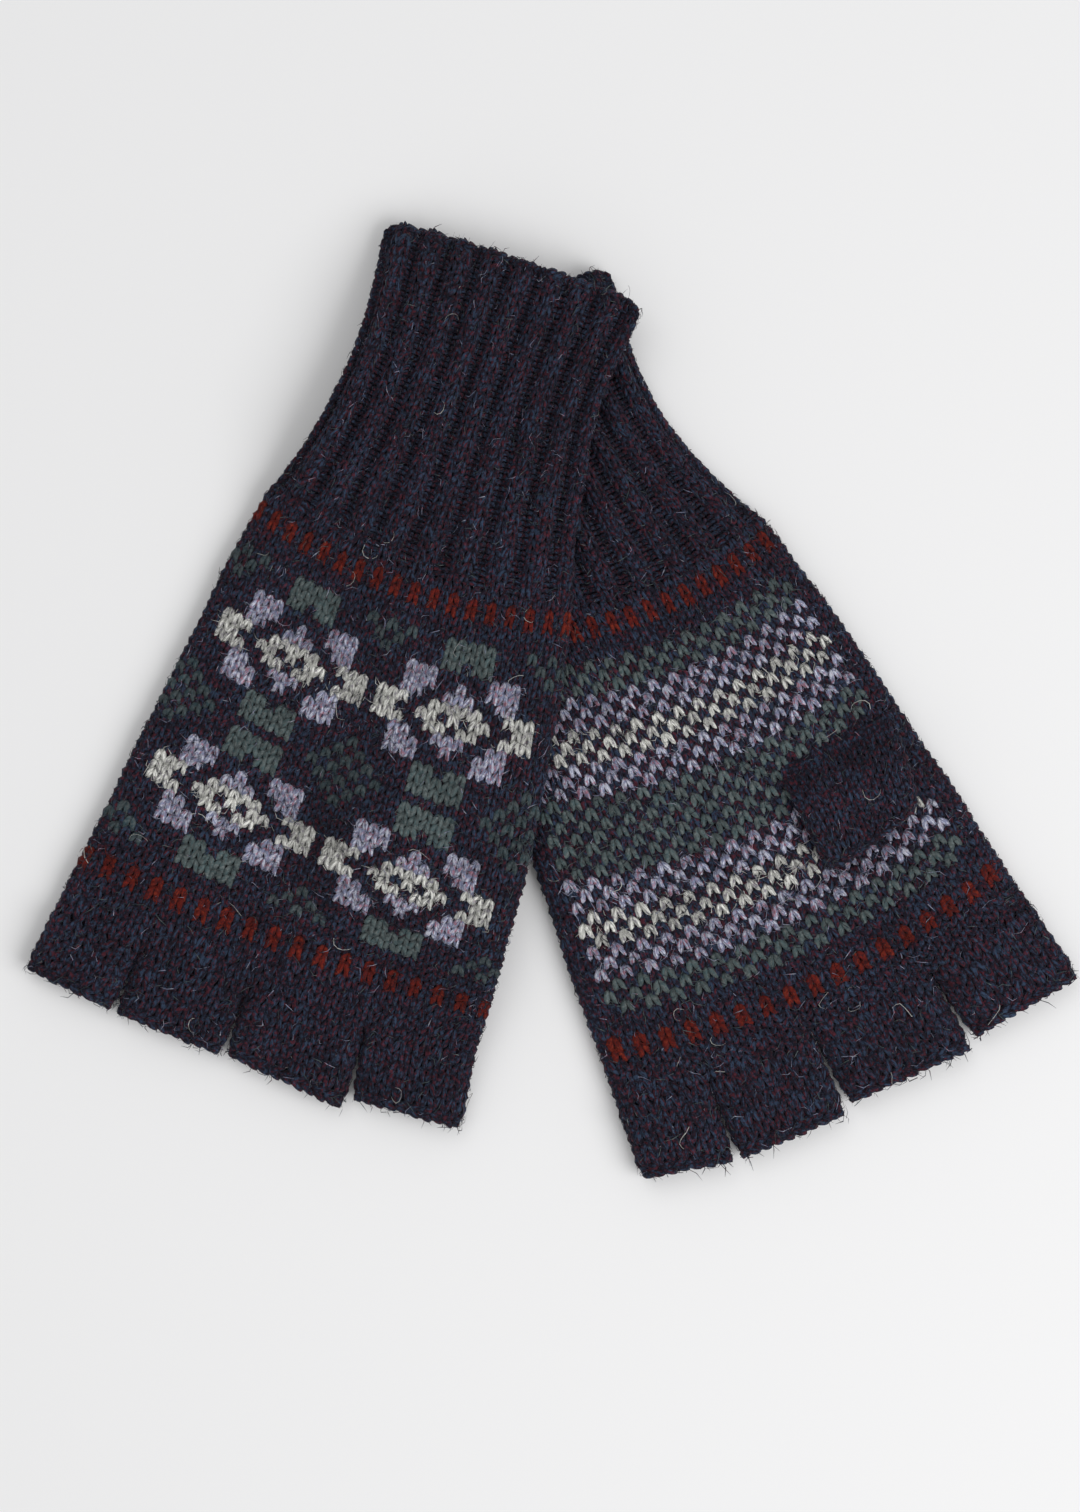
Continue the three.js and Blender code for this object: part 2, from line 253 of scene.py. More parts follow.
# The main tube of a glove. Column 0 is at the little finger's side and they run over the palm to the
# thumb's side and back. The right glove lies turned over, so its columns are counted the other way.
def mainTube(side, face):
    phase = 0.4 if side == "left" else 2.3
    ribs = face == knit["ribFace"]

    def place(column, row):
        column = 2 * face - column if side == "right" else column
        if ribs:  # the plain columns stand out and spread, the others draw in between them
            column = column + smooth(row, knit["rows"] - 1, knit["rows"] + 3) * ribSpread(column)
        turn = column / (2 * face)
        rise = glove["thickness"] / 2 - glove["skin"]
        share, _ = section(turn, glove["usualHalf"], rise, glove["squareness"])
        along = alongAt(side, row, share)
        half = np.mean(edgeWidths(side, along), axis=0) - glove["skin"]
        x = np.zeros_like(share)
        z = np.zeros_like(share)
        for i in range(share.shape[0]):  # one row of the grid at a time
            x[i], z[i] = section(turn[i], half[i].mean(), rise, glove["squareness"])
        edge = np.abs(share) ** 3
        x = across(side, x * half / (half + glove["skin"]), along)
        x = x + glove["waver"] * waver(along * 0, along, phase) * edge * np.sign(share)
        flat = np.clip(1 - np.abs(share) ** 4, 0, 1)
        level = z * rise + glove["pucker"] * waver(x * 2.2, along * 2.2, phase) * flat * np.sign(z)
        for forkShare, root in glove["forks"][1:-1]:
            away = ((share - forkShare) * half / glove["creaseWidth"]) ** 2
            dip = np.exp(-away) * np.exp(-np.maximum(along - root, 0) / glove["creaseLength"])
            level = level * (1 - dip * glove["crease"] / rise)
        return toWorld(side, x, along, glove["thickness"] / 2 + level)

    def groove(column, row):
        column = 2 * face - column if side == "right" else column
        ribbed = smooth(row, knit["rows"] - 0.5, knit["rows"] + 2.5)
        return -glove["groove"] * ribbed * (0.5 - 0.5 * ribWave(column)) ** glove["groovePower"]

    tube = {"place": place, "count": 2 * face}
    if ribs:
        tube["lower"] = groove
    return tube


def ribSpread(column):
    return knit["ribSpread"] * np.sin(math.pi * (column - 1) / 2)


# A finger stands square to the line between its two forks. Its columns go on from the hand's.
def fingerTube(side, i):
    shares, roots = zip(*glove["forks"])
    near, far = [np.array((across(side, shares[j], roots[j]), roots[j])) for j in (i, i + 1)]
    reach = np.linalg.norm(far - near)
    sideways = (far - near) / reach
    out = np.array((sideways[1], -sideways[0]))
    left = finger["gap"] / 2 if i > 0 else glove["skin"]
    right = finger["gap"] / 2 if i < 3 else glove["skin"]
    half = (reach - left - right) / 2
    middle = near + sideways * (left + half)
    rise = glove["thickness"] / 2 - glove["skin"]
    rowHeight = (finger["length"] + finger["longer"][side][i] - finger["edge"]) / finger["rows"]
    count = 2 * round((2 * half + finger["sideYarn"]) / finger["pitch"])
    phase = i + (1.3 if side == "left" else 2.9)

    def place(column, row):
        column = count - column if side == "right" else column
        away = -row * rowHeight
        opened = smooth(away, 0, finger["opens"])
        x = np.zeros_like(column)
        z = np.zeros_like(column)
        for r in range(column.shape[0]):
            rounding = (finger["squareness"] - finger["rootSquareness"]) * opened[r].mean()
            x[r], z[r] = section(column[r] / count, half, rise, finger["rootSquareness"] + rounding)
        flare = 1 + finger["flare"] * smooth(away, finger["opens"], finger["length"])
        thin = 1 - finger["thinning"] * smooth(away, finger["thinsFrom"], finger["length"])
        droop = finger["droop"] * waver(x * half * 3, away * 4, phase)
        reached = away * (1 + finger["slant"][side][i] * x / finger["length"])
        spot = middle + np.multiply.outer(x * half * flare, sideways) + reached[..., None] * out
        level = glove["thickness"] / 2 + z * rise * thin + droop
        return toWorld(side, spot[..., 0], spot[..., 1], level)

    return {"place": place, "count": count}


# The thumb stub lies on the palm and points to the fingers. Its root lies flush in the palm.
def thumbTube(side):
    count, rows = thumb["stitches"], thumb["rows"]

    def place(column, row):
        column = count - column if side == "right" else column
        away = -row / (rows + 1)
        reach = thumb["root"] - np.mean(thumb["tips"])
        lifted = smooth(away * reach, -1, thumb["rise"])
        half = np.interp(away, (0, 1), thumb["drawnWidth"]) / 2 - glove["skin"]
        x = np.zeros_like(column)
        z = np.zeros_like(column)
        for r in range(column.shape[0]):
            turn = column[r] / count
            x[r], z[r] = section(turn, half[r].mean(), thumb["sectionRise"], thumb["squareness"])
        root, sunk = thumb["rootRise"], thumb["sunk"]
        rise = root + (thumb["thickness"] / 2 - glove["skin"] - root) * lifted
        middle = glove["thickness"] - sunk + (thumb["gap"] + sunk + thumb["thickness"] / 2) * lifted
        corner = thumb["cornerDrop"] * np.abs(x) ** thumb["cornerPower"]
        tip = np.interp(x, (-1, 1), thumb["tips"]) + corner
        along = thumb["root"] + (tip - thumb["root"]) * away
        sideways = np.interp(away, (0, 1), thumb["drawnMiddle"]) + x * half
        return toWorld(side, sideways, along, middle + z * rise, True)

    return {"place": place, "count": count}


# The pattern charts: g green, l lavender, w white, r red, t the dim green of the small diamonds.
yarns = {".": 0, "g": 1, "l": 2, "w": 3, "r": 4, "t": 5}  # 0 is navy
pattern = {
    "rows": "ggglllwwwlllggggggglllwwwlllggg",  # colour of each row of the palm, from the fingers on
    "start": 8, "redRows": (4, 5, 41, 42), "plainSides": 2,
    "flowerStarts": (2, 18), "flowerRows": (8, 24),
    "diamondMiddles": (17, 1, 33), "diamondRows": (7, 23, 39),
}
flower = (
    ".....ggggg.....", ".....ggggg.....", ".....gg.gg.....", "..lll.....lll..", "..lll..l..lll..",
    "..ll..lll..ll..", "www..ww.ww..www", "ww..ww.w.ww..ww", "www..wwwww..www", "..ll..lll..ll..",
    "..lll..l..lll..", "..lll.....lll..", ".....gg.gg.....", ".....ggggg.....", ".....ggggg.....",
)
diamond = ("...g...", "..g.g..", ".g.g.g.", "g.g.g.g", ".g.g.g.", "..g.g..", "...g...")


def chartAt(chart, column, row):  # nothing outside the chart, which is as high as it is wide
    size = len(chart)
    return chart[row][column] if 0 <= row < size and 0 <= column < size else "."


def stitchYarn(side, column, row):
    face = knit["face"]
    row = int(row)
    column = int(column) % (2 * face)
    if side == "right":
        column = 2 * face - 1 - column
    if row in pattern["redRows"]:
        return yarns["r"] if column % 2 else 0
    patternRow = row - pattern["start"]
    if not 0 <= patternRow < len(pattern["rows"]):
        return 0
    if column < face:  # palm: every other stitch, plain at the sides and round the thumb
        atSides = column < pattern["plainSides"] or column >= face - pattern["plainSides"]
        atThumb = row in thumb["plainRows"] and column >= thumb["firstPlain"]
        return 0 if atSides or atThumb or not (column + row) % 2 else yarns[pattern["rows"][patternRow]]
    column = 2 * face - 1 - column
    found = "."
    half = len(diamond) // 2
    for middle in pattern["diamondMiddles"]:
        for middleRow in pattern["diamondRows"]:
            if chartAt(diamond, column - middle + half, row - middleRow + half) != ".":
                found = "t"
    for start in pattern["flowerStarts"]:
        for startRow in pattern["flowerRows"]:
            petal = chartAt(flower, column - start, row - startRow)
            found = petal if petal != "." else found
    return yarns[found]


# The shapes of one stitch, in knitting space: each path is a yarn with its radii and its flatness.
def yarnTube(name, paths, sides=5, steps=5):
    width, height = knit["stitchWidth"], knit["rowHeight"]
    verts, faces, uvs = [], [], []
    for path, radii, flat in paths:
        path = np.array(path, float)
        at = np.linspace(0, 1, len(path))
        t = np.linspace(0, 1, steps + 1)
        centre = np.stack([hermite(t, at, path[:, k]) for k in range(3)], axis=1)
        radius = np.interp(t, np.linspace(0, 1, len(radii)), radii)
        tangent = np.gradient(centre, axis=0)
        tangent /= np.linalg.norm(tangent, axis=1)[:, None]
        sideways = np.cross(tangent, (0, 0, 1))
        sideways /= np.linalg.norm(sideways, axis=1)[:, None]
        upward = np.cross(sideways, tangent)
        start = len(verts)
        for i in range(steps + 1):
            for j in range(sides):
                a = 2 * math.pi * (j + 0.5) / sides
                p = centre[i] + radius[i] * (math.cos(a) * sideways[i] + flat * math.sin(a) * upward[i])
                verts.append((p[0] / width, p[1] / height, p[2]))
        for i in range(steps):
            for j in range(sides):
                k = (j + 1) % sides
                a, b = start + i * sides, start + (i + 1) * sides
                faces.append((a + j, a + k, b + k, b + j))
                u, v = i / steps, j / sides
                uvs += [(u, v), (u, v + 1 / sides), (u + 1 / steps, v + 1 / sides), (u + 1 / steps, v)]
        first = [start + j for j in range(sides)][::-1]
        last = [start + steps * sides + j for j in range(sides)]
        for cap, u in ((first, 0), (last, 1)):
            faces.append(cap)
            uvs += [(u, j / sides) for j in range(sides)]
    mesh = bpy.data.meshes.new(name)
    mesh.from_pydata(verts, [], faces)
    layer = mesh.uv_layers.new(name="yarnUv")
    layer.data.foreach_set("uv", np.array(uvs, np.float32).ravel())
    mesh.shade_smooth()
    return linked(name, mesh)


def bothWays(path):
    return [path, [(-x, y, z) for x, y, z in path]]


plainLeg = [(0.08, 2.2, -0.9), (0.38, 1.4, -0.12), (0.74, 0.4, 0.3), (1.02, -0.6, 0.3),
            (1.16, -1.4, -0.2), (1.02, -2.0, -0.9)]
purlBow = [(-1.7, 0.5, -0.5), (-0.8, 1.0, 0.2), (0.8, 1.0, 0.2), (1.7, 0.5, -0.5)]
purlFoot = [(-1.7, -0.6, -0.5), (-0.8, -0.3, 0.1), (0.8, -0.3, 0.1), (1.7, -0.6, -0.5)]
chainArm = [(-1.9, -0.1, -0.5), (-0.7, 0.35, 0.1), (0.7, 0.95, 0.15), (1.7, 1.2, -0.5)]
otherArm = [(x, -y, z) for x, y, z in chainArm]
hair = [(-0.9, -0.3, 0.1), (0.2, 0.3, 0.85), (1.6, 0.1, 1.0)]
curl = [(0, 0, -0.3), (1.3, 0.3, 1.0), (2.6, 1.4, 1.2), (2.9, 3.0, 0.9), (1.9, 3.9, 1.1)]
legRadii = (0.5, 0.74, 0.84, 0.84, 0.7, 0.45)
bowRadii = (0.6, 0.75, 0.6)
armRadii = (0.5, 0.95, 0.9, 0.5)
shapes = {
    "plain": yarnTube("stitch_plain", [(leg, legRadii, 0.8) for leg in bothWays(plainLeg)], steps=4),
    "purl": yarnTube("stitch_purl", [(bow, bowRadii, 0.8) for bow in (purlBow, purlFoot)],
                     sides=4, steps=4),
    "chain": yarnTube("stitch_chain", [(arm, armRadii, 0.85) for arm in (chainArm, otherArm)]),
    "hair": yarnTube("stray_hair", [(hair, (0.05, 0.06, 0.015), 1)], sides=3, steps=2),
    "curl": yarnTube("stray_curl", [(curl, (0.05, 0.055, 0.05, 0.045, 0.02), 1)], sides=3, steps=7),
}
print("stitch shapes drawn")


# A fabric surface, twice as fine as its stitches, with a margin round it.
def fabricGrid(tube, columns, rows, step=0.5, margins=(1.5, 1.5)):
    ks = np.arange(columns[0] - margins[0], columns[1] + margins[0] + 1e-6, step)
    rs = np.arange(rows[0] - margins[1], rows[1] + margins[1] + 1e-6, step)
    column, row = np.meshgrid(ks, rs)
    place = tube["place"](column, row)
    outward = np.cross(np.gradient(place, axis=1), np.gradient(place, axis=0))
    outward /= np.linalg.norm(outward, axis=2)[..., None]
    if "lower" in tube:
        place = place + outward * tube["lower"](column, row)[..., None] * mm
    return {"place": place, "outward": outward, "columns": (ks[0], ks[-1]), "rows": (rs[0], rs[-1])}


def gridFaces(height, width, closed=False):
    faces = []
    for i in range(height - 1):
        for j in range(width if closed else width - 1):
            k = (j + 1) % width
            faces.append((i * width + j, i * width + k, (i + 1) * width + k, (i + 1) * width + j))
    return faces


def fabricObject(name, grid):
    height, width = grid["place"].shape[:2]
    mesh = bpy.data.meshes.new(name)
    faces = gridFaces(height, width)
    mesh.from_pydata(grid["place"].reshape(-1, 3).tolist(), [], faces)
    at = np.array(faces).ravel()
    uvs = np.stack([(at % width) / (width - 1), (at // width) / (height - 1)], axis=1)
    layer = mesh.uv_layers.new(name="knitUv")
    layer.data.foreach_set("uv", uvs.astype(np.float32).ravel())
    outward = mesh.attributes.new("outward", "FLOAT_VECTOR", "POINT")
    outward.data.foreach_set("vector", grid["outward"].astype(np.float32).ravel())
    return linked(name, mesh)


# The inner side of the fabric: a thin slab under the stitches, closed all round.
def slabObject(name, tube, columns, rows, closed, sides):
    grid = fabricGrid(tube, columns, rows, 1, (0, 0))
    place, outward = grid["place"], grid["outward"]
    if closed:
        place, outward = place[:, :-1], outward[:, :-1]
    height, width = place.shape[:2]
    top, low = [(place + outward * level * mm).reshape(-1, 3) for level in sides]
    count = len(top)
    faces = gridFaces(height, width, closed)
    faces += [tuple(count + v for v in reversed(face)) for face in gridFaces(height, width, closed)]
    for j in range(width if closed else width - 1):
        k = (j + 1) % width
        last = (height - 1) * width
        faces.append((k, j, count + j, count + k))
        faces.append((last + j, last + k, count + last + k, count + last + j))
    if not closed:
        for i in range(height - 1):
            a, b = i * width, (i + 1) * width
            faces.append((a, b, count + b, count + a))
            faces.append((b + width - 1, a + width - 1, count + a + width - 1, count + b + width - 1))
    mesh = bpy.data.meshes.new(name)
    mesh.from_pydata(np.concatenate([top, low]).tolist(), [], faces)
    mesh.shade_smooth()
    return linked(name, mesh)


# The points where the stitches go, with each one's yarn and kind of stitch.
def pointsObject(name, spots, yarn, kind):
    mesh = bpy.data.meshes.new(name)
    mesh.from_pydata(spots, [], [])
    for label, values in (("yarn", yarn), ("kind", kind)):
        attribute = mesh.attributes.new(label, "FLOAT", "POINT")
        attribute.data.foreach_set("value", np.array(values, np.float32))
    return linked(name, mesh)


# What both kinds of node tree need: a new node, a socket's link or number, and a sum.
def nodeTools(tree):
    def add(kind, **settings):
        node = tree.nodes.new(kind)
        for key, value in settings.items():
            setattr(node, key, value)
        return node

    def feed(value, socket):
        if isinstance(value, (int, float)):
            socket.default_value = value
        else:
            tree.links.new(value, socket)

    def calculate(operation, *values, clamp=False):
        node = add("ShaderNodeMath", operation=operation, use_clamp=clamp)
        for value, socket in zip(values, node.inputs):
            feed(value, socket)
        return node.outputs[0]

    return add, feed, calculate


# Geometry Nodes: instances the stitches in knitting space and lays them on the fabric surface.
def layStitchesTree():
    tree = bpy.data.node_groups.new("lay_stitches", "GeometryNodeTree")
    sockets = (
        ("Fabric", "NodeSocketGeometry", None), ("Stitch Points", "NodeSocketObject", None),
        ("Inner Side", "NodeSocketObject", None), ("Stitch", "NodeSocketObject", None),
        ("Second Stitch", "NodeSocketObject", None), ("First Column", "NodeSocketFloat", 0),
        ("Columns", "NodeSocketFloat", 1), ("First Row", "NodeSocketFloat", 0),
        ("Rows", "NodeSocketFloat", 1), ("Turn", "NodeSocketFloat", 0.13),
        ("Tilt", "NodeSocketFloat", 0.05), ("Smallest", "NodeSocketFloat", 0.92),
        ("Largest", "NodeSocketFloat", 1.12), ("Lift", "NodeSocketFloat", 0.1),
        ("Seed", "NodeSocketInt", 1), ("Wool", "NodeSocketMaterial", None),
    )
    for label, kind, value in sockets:
        socket = tree.interface.new_socket(label, in_out="INPUT", socket_type=kind)
        if value is not None:
            socket.default_value = value
    tree.interface.new_socket("Geometry", in_out="OUTPUT", socket_type="NodeSocketGeometry")
    link = tree.links.new
    add, feed, calculate = nodeTools(tree)
    given = add("NodeGroupInput").outputs

    def named(label, kind="FLOAT"):
        node = add("GeometryNodeInputNamedAttribute", data_type=kind)
        node.inputs["Name"].default_value = label
        return node.outputs["Attribute"]

    def between(low, high, offset):
        node = add("FunctionNodeRandomValue", data_type="FLOAT")
        feed(low, node.inputs[2])
        feed(high, node.inputs[3])
        link(calculate("ADD", given["Seed"], offset), node.inputs["Seed"])
        return node.outputs[1]

    pointsInfo = add("GeometryNodeObjectInfo")
    link(given["Stitch Points"], pointsInfo.inputs["Object"])
    lifted = add("GeometryNodeSetPosition")
    link(pointsInfo.outputs["Geometry"], lifted.inputs["Geometry"])
    raised = add("ShaderNodeCombineXYZ")
    link(between(calculate("MULTIPLY", given["Lift"], -1), given["Lift"], 10), raised.inputs["Z"])
    link(raised.outputs[0], lifted.inputs["Offset"])
    tilt, turn = given["Tilt"], given["Turn"]
    angles = add("ShaderNodeCombineXYZ")
    for axis, limit, offset in (("X", tilt, 20), ("Y", tilt, 30), ("Z", turn, 40)):
        link(between(calculate("MULTIPLY", limit, -1), limit, offset), angles.inputs[axis])
    rotation = add("FunctionNodeEulerToRotation")
    link(angles.outputs[0], rotation.inputs[0])
    size = between(given["Smallest"], given["Largest"], 50)
    joined = add("GeometryNodeJoinGeometry")
    for label, kind in (("Stitch", 0), ("Second Stitch", 1)):
        info = add("GeometryNodeObjectInfo")
        link(given[label], info.inputs["Object"])
        chosen = add("FunctionNodeCompare", data_type="FLOAT", operation="EQUAL")
        link(named("kind"), chosen.inputs["A"])
        chosen.inputs["B"].default_value = kind
        placed = add("GeometryNodeInstanceOnPoints")
        link(lifted.outputs[0], placed.inputs["Points"])
        link(chosen.outputs[0], placed.inputs["Selection"])
        link(info.outputs["Geometry"], placed.inputs["Instance"])
        link(rotation.outputs[0], placed.inputs["Rotation"])
        link(size, placed.inputs["Scale"])
        link(placed.outputs[0], joined.inputs[0])
    shaded = add("GeometryNodeStoreNamedAttribute", data_type="FLOAT", domain="INSTANCE")
    shaded.inputs["Name"].default_value = "shade"
    link(joined.outputs[0], shaded.inputs["Geometry"])
    link(between(0.0, 1.0, 60), shaded.inputs["Value"])
    real = add("GeometryNodeRealizeInstances")
    link(shaded.outputs[0], real.inputs[0])

    place = add("GeometryNodeInputPosition")
    parts = add("ShaderNodeSeparateXYZ")
    link(place.outputs[0], parts.inputs[0])
    spot = add("ShaderNodeCombineXYZ")
    for axis, first, count in (("X", "First Column", "Columns"), ("Y", "First Row", "Rows")):
        reached = calculate("SUBTRACT", parts.outputs[axis], given[first])
        kept = calculate("MAXIMUM", calculate("DIVIDE", reached, given[count]), 0.002)
        link(calculate("MINIMUM", kept, 0.998), spot.inputs[axis])  # never off the fabric
    sampled = []
    for value in (add("GeometryNodeInputPosition").outputs[0], named("outward", "FLOAT_VECTOR")):
        sample = add("GeometryNodeSampleUVSurface", data_type="FLOAT_VECTOR")
        link(given["Fabric"], sample.inputs["Mesh"])
        link(value, sample.inputs["Value"])
        link(named("knitUv", "FLOAT_VECTOR"), sample.inputs["Source UV Map"])
        link(spot.outputs[0], sample.inputs["Sample UV"])
        sampled.append(sample.outputs["Value"])
    height = add("ShaderNodeVectorMath", operation="SCALE")
    link(sampled[1], height.inputs[0])
    link(calculate("MULTIPLY", parts.outputs["Z"], mm), height.inputs["Scale"])
    total = add("ShaderNodeVectorMath", operation="ADD")
    link(sampled[0], total.inputs[0])
    link(height.outputs[0], total.inputs[1])
    laid = add("GeometryNodeSetPosition")
    link(real.outputs[0], laid.inputs["Geometry"])
    link(total.outputs[0], laid.inputs["Position"])

    inner = add("GeometryNodeObjectInfo")
    link(given["Inner Side"], inner.inputs["Object"])
    whole = add("GeometryNodeJoinGeometry")
    link(laid.outputs[0], whole.inputs[0])
    link(inner.outputs["Geometry"], whole.inputs[0])
    allReal = add("GeometryNodeRealizeInstances")
    link(whole.outputs[0], allReal.inputs[0])
    painted = add("GeometryNodeSetMaterial")
    link(allReal.outputs[0], painted.inputs[0])
    link(given["Wool"], painted.inputs["Material"])
    link(painted.outputs[0], add("NodeGroupOutput").inputs[0])
    return tree


stitchTree = layStitchesTree()
socketIds = {item.name: item.identifier for item in stitchTree.interface.items_tree
             if item.in_out == "INPUT"}


def countTriangles(objects):
    return sum(len(polygon.vertices) - 2 for obj in objects for polygon in obj.data.polygons)


def layStitches(name, grid, points, inner, wool, stitch, second=None, **settings):
    fabric = fabricObject(name + "_surface", grid)
    modifier = fabric.modifiers.new("Stitches", "NODES")
    modifier.node_group = stitchTree
    values = {
        "Stitch Points": points, "Inner Side": inner, "Stitch": stitch, "Second Stitch": second or stitch,
        "First Column": grid["columns"][0], "Columns": grid["columns"][1] - grid["columns"][0],
        "First Row": grid["rows"][0], "Rows": grid["rows"][1] - grid["rows"][0], "Wool": wool,
    }
    for label, value in {**values, **settings}.items():
        modifier[socketIds[label]] = float(value) if isinstance(value, np.floating) else value
    depsgraph = bpy.context.evaluated_depsgraph_get()
    evaluated = fabric.evaluated_get(depsgraph)
    mesh = bpy.data.meshes.new_from_object(evaluated, preserve_all_data_layers=True, depsgraph=depsgraph)
    mesh.name = name
    piece = linked(name, mesh)
    for helper in (fabric, points, inner):
        if helper is not None:
            bpy.data.objects.remove(helper)
    return piece


# Linear colours of each yarn: navy, green, lavender, white, red, and the dim green of the small diamonds.
# Every yarn is a mixture: a ground and two kinds of fleck.
palette = {
    "ground": ((0.0105, 0.0078, 0.0165), (0.090, 0.112, 0.113), (0.205, 0.222, 0.330), (0.45, 0.45, 0.42),
               (0.120, 0.0095, 0.006), (0.062, 0.080, 0.086)),
    "fleck": ((0.0210, 0.0350, 0.0640), (0.055, 0.085, 0.090), (0.40, 0.41, 0.48), (0.57, 0.57, 0.54),
              (0.045, 0.007, 0.008), (0.024, 0.044, 0.052)),
    "speck": ((0.0850, 0.0165, 0.0280), (0.160, 0.185, 0.185), (0.38, 0.19, 0.25), (0.29, 0.27, 0.30),
              (0.21, 0.026, 0.012), (0.090, 0.105, 0.110)),
}
mixture = {
    "fleckRange": (0.48, 0.63), "speckRange": (0.54, 0.67),  # how much of the yarn the flecks take up
    "streakPull": 1.1, "streakLight": 3.4,
    "shadeLight": (0.86, 0.28), "driftLight": (0.75, 0.5),  # the least, and how much is added
    "driftScale": 45.0, "frizzScale": 2600.0, "fibreStretch": (1.1, 4.2, 1.0),
}


def shaderGroup(name, inputs, outputs):
    tree = bpy.data.node_groups.new(name, "ShaderNodeTree")
    for label, value in inputs:
        socket = tree.interface.new_socket(label, in_out="INPUT", socket_type="NodeSocketFloat")
        socket.default_value = value
    for label, kind in outputs:
        tree.interface.new_socket(label, in_out="OUTPUT", socket_type=kind)
    return tree, tree.nodes.new("NodeGroupInput"), tree.nodes.new("NodeGroupOutput")


# Wool fibres of several colours, and the fibres' own relief.
def heatherGroup():
    tree, given, out = shaderGroup(
        "heathered_wool",
        [("Fleck Size", 1000.0), ("Streak", 1.0), ("Ply", 1.0)],
        [("Color", "NodeSocketColor"), ("Height", "NodeSocketFloat"), ("Roughness", "NodeSocketFloat")])
    link = tree.links.new
    add, feed, calculate = nodeTools(tree)

    def attribute(name):
        return add("ShaderNodeAttribute", attribute_name=name)

    def noise(vector, scale, detail=2.0, roughness=0.6):
        node = add("ShaderNodeTexNoise")
        link(vector, node.inputs["Vector"])
        feed(scale, node.inputs["Scale"])
        node.inputs["Detail"].default_value = detail
        node.inputs["Roughness"].default_value = roughness
        return node.outputs["Fac"]

    def mask(value, limits):
        node = add("ShaderNodeMapRange", interpolation_type="SMOOTHSTEP")
        link(value, node.inputs["Value"])
        node.inputs["From Min"].default_value, node.inputs["From Max"].default_value = limits
        return node.outputs["Result"]

    def mix(factor, a, b):
        node = add("ShaderNodeMix", data_type="RGBA")
        for socket, value in ((node.inputs[0], factor), (node.inputs[6], a), (node.inputs[7], b)):
            link(value, socket)
        return node.outputs[2]

    def dimmed(value, limits):
        least, added = limits
        return calculate("ADD", calculate("MULTIPLY", value, added), least)

    yarn = attribute("yarn").outputs["Fac"]
    shade = attribute("shade").outputs["Fac"]
    along = attribute("yarnUv").outputs["Vector"]
    where = add("ShaderNodeTexCoord").outputs["Object"]

    def byYarn(colours):
        ramp = add("ShaderNodeValToRGB")
        ramp.color_ramp.interpolation = "CONSTANT"
        points = ramp.color_ramp.elements
        while len(points) < len(colours):
            points.new(0.5)
        for i, colour in enumerate(colours):
            points[i].position = i / len(colours)
            points[i].color = (*colour, 1)
        link(calculate("DIVIDE", calculate("ADD", yarn, 0.5), len(colours)), ramp.inputs[0])
        return ramp.outputs["Color"]

    # fibres run along the yarn: the coordinates are stretched along it and start elsewhere on each stitch
    fibre = add("ShaderNodeMapping")
    fibre.inputs["Scale"].default_value = mixture["fibreStretch"]
    link(along, fibre.inputs["Vector"])
    moved = add("ShaderNodeCombineXYZ")
    link(calculate("MULTIPLY", shade, 71.0), moved.inputs["X"])
    link(calculate("MULTIPLY", shade, 37.0), moved.inputs["Z"])
    fibreAt = add("ShaderNodeVectorMath", operation="ADD")
    link(fibre.outputs[0], fibreAt.inputs[0])
    link(moved.outputs[0], fibreAt.inputs[1])
    streaks = noise(fibreAt.outputs[0], 2.0, 3.0, 0.75)
    blots = noise(where, given.outputs["Fleck Size"], 2.0, 0.6)
    elsewhere = add("ShaderNodeVectorMath", operation="ADD")
    link(where, elsewhere.inputs[0])
    elsewhere.inputs[1].default_value = (3.1, 1.7, 0.9)
    otherBlots = noise(elsewhere.outputs[0], given.outputs["Fleck Size"], 2.0, 0.6)
    drift = noise(where, mixture["driftScale"], 2.0, 0.5)
    streaked = calculate("MULTIPLY", calculate("SUBTRACT", streaks, 0.5), given.outputs["Streak"])
    pulled = calculate("MULTIPLY", streaked, mixture["streakPull"])
    first = mask(calculate("ADD", blots, pulled), mixture["fleckRange"])
    second = mask(calculate("SUBTRACT", otherBlots, pulled), mixture["speckRange"])
    colour = mix(first, byYarn(palette["ground"]), byYarn(palette["fleck"]))
    colour = mix(second, colour, byYarn(palette["speck"]))
    light = dimmed(streaked, (1.0, mixture["streakLight"]))
    light = calculate("MULTIPLY", light, dimmed(shade, mixture["shadeLight"]))
    light = calculate("MULTIPLY", light, dimmed(drift, mixture["driftLight"]))
    scaled = add("ShaderNodeVectorMath", operation="SCALE")
    link(colour, scaled.inputs[0])
    link(light, scaled.inputs["Scale"])
    link(scaled.outputs[0], out.inputs["Color"])

    # two plies twisted round each other, and loose fibres on them
    parts = add("ShaderNodeSeparateXYZ")
    link(along, parts.inputs[0])
    wound = calculate("ADD", calculate("MULTIPLY", parts.outputs["X"], 3.0),
                      calculate("MULTIPLY", parts.outputs["Y"], 2.0))
    ply = calculate("ABSOLUTE", calculate("SINE", calculate("MULTIPLY", wound, math.pi)))
    ply = calculate("MULTIPLY", ply, given.outputs["Ply"])
    frizz = noise(where, mixture["frizzScale"], 2.0, 0.7)
    height = calculate("ADD", calculate("MULTIPLY", ply, 0.5), calculate("MULTIPLY", streaks, 0.9))
    height = calculate("ADD", height, calculate("MULTIPLY", frizz, 0.7))
    link(height, out.inputs["Height"])
    link(calculate("ADD", calculate("MULTIPLY", frizz, 0.2), 0.78, clamp=True), out.inputs["Roughness"])
    return tree


heather = heatherGroup()


